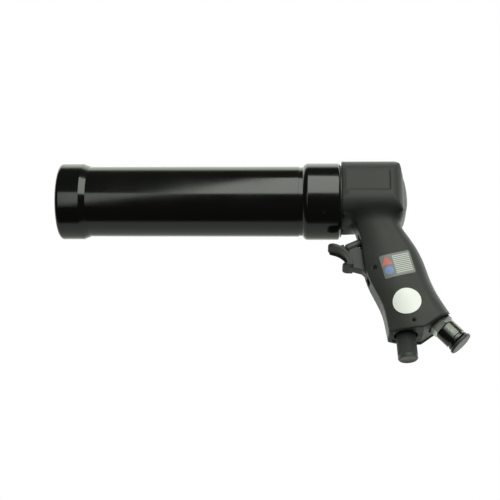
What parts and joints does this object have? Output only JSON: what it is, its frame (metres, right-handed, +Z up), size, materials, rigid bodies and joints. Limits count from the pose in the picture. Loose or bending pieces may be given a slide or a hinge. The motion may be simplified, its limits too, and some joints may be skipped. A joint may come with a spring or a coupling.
{
  "type": "pneumatic cartridge gun",
  "caption": "Air-powered sealant gun: closed cylindrical barrel with screw cap, pistol grip with trigger valve, throttle knob and angled air inlet.",
  "frame": {"origin": "centre of the nozzle opening in the cap's front face", "axes": "+X along the barrel towards the handle, +Z up away from the grip, +Y to the user's left when the barrel points away; the trigger is pulled towards +X"},
  "size_m": [0.3095, 0.06, 0.1616],
  "materials": {
    "gloss_black_paint": "gloss black paint",
    "black_nylon": "matt",
    "black_rubber": "matt",
    "dark_steel": "blackened",
    "aluminium": "turned",
    "plated_steel": "zinc plated",
    "textured_black": "fine moulded texture",
    "black_plastic": "satin",
    "brass": "turned",
    "black_metal": "satin black",
    "gloss_black_metal": "gloss black",
    "grey_plastic": "satin",
    "label_grey": "printed film",
    "label_white": "printed film"
  },
  "bodies": {
    "frame": {"barrel_tube": "gloss_black_paint", "tube_gasket": "black_rubber", "rear_ring": "gloss_black_paint", "ring_lock_screw": "dark_steel", "head_adapter": "aluminium", "adapter_o_ring": "black_rubber", "cone_seal": "black_rubber", "seal_bolt": "plated_steel", "handle_housing": "textured_black", "trigger_pin": "plated_steel", "valve_sleeve": "brass", "sleeve_o_ring": "black_rubber", "valve_spring": "plated_steel", "base_block": "black_metal", "base_pins": "plated_steel", "throttle_bonnet": "brass", "inlet_washer": "black_rubber", "inlet_bush": "plated_steel", "inlet_body": "gloss_black_metal", "inlet_filter": "plated_steel", "info_label": "label_grey", "round_sticker": "label_white"},
    "cap_ring": {"cap_washer": "black_nylon"},
    "cap": {"front_cap": "gloss_black_paint"},
    "trigger_lever": {"trigger": "black_plastic"},
    "valve": {"valve_stem": "dark_steel", "poppet_seal": "black_rubber"},
    "throttle": {"throttle_plug": "brass", "plug_o_ring": "black_rubber"},
    "knob": {"throttle_knob": "black_metal"},
    "inlet_plug": {"dust_plug": "grey_plastic"}
  },
  "joints": [
    {"name": "cap_travel", "type": "slide", "parent": "frame", "child": "cap_ring", "axis": [-1, 0, 0], "range_m": [0, 0.0181]},
    {"name": "cap_turn", "type": "hinge", "parent": "cap_ring", "child": "cap", "pos_m": [0.01, 0, 0], "axis": [-1, 0, 0], "range_deg": [0, 2160]},
    {"name": "trigger_pull", "type": "hinge", "parent": "frame", "child": "trigger_lever", "pos_m": [0.2412, 0, -0.0632], "axis": [0, 1, 0], "range_deg": [0, 10], "stiffness_Nm_per_rad": 1.2, "springref_deg": -20.05},
    {"name": "valve_travel", "type": "slide", "parent": "frame", "child": "valve", "axis": [0.9063, 0, 0.4226], "range_m": [0, 0.0052], "deforming": ["valve_spring"]},
    {"name": "throttle_travel", "type": "slide", "parent": "frame", "child": "throttle", "axis": [0.0558, 0, -0.9984], "range_m": [0, 0.0033]},
    {"name": "knob_turn", "type": "hinge", "parent": "throttle", "child": "knob", "pos_m": [0.2632, 0, -0.1131], "axis": [0.0558, 0, -0.9984], "range_deg": [0, 720]},
    {"name": "plug_pull", "type": "slide", "parent": "frame", "child": "inlet_plug", "axis": [0.6807, 0, -0.7325], "range_m": [0, 0.03]}
  ],
  "couplings": [
    {"joint": "cap_travel", "follows": "cap_turn", "m_per_rad": 0.00047746},
    {"joint": "valve_travel", "follows": "trigger_pull", "m_per_rad": 0.0292},
    {"joint": "throttle_travel", "follows": "knob_turn", "m_per_rad": 0.00023873}
  ]
}
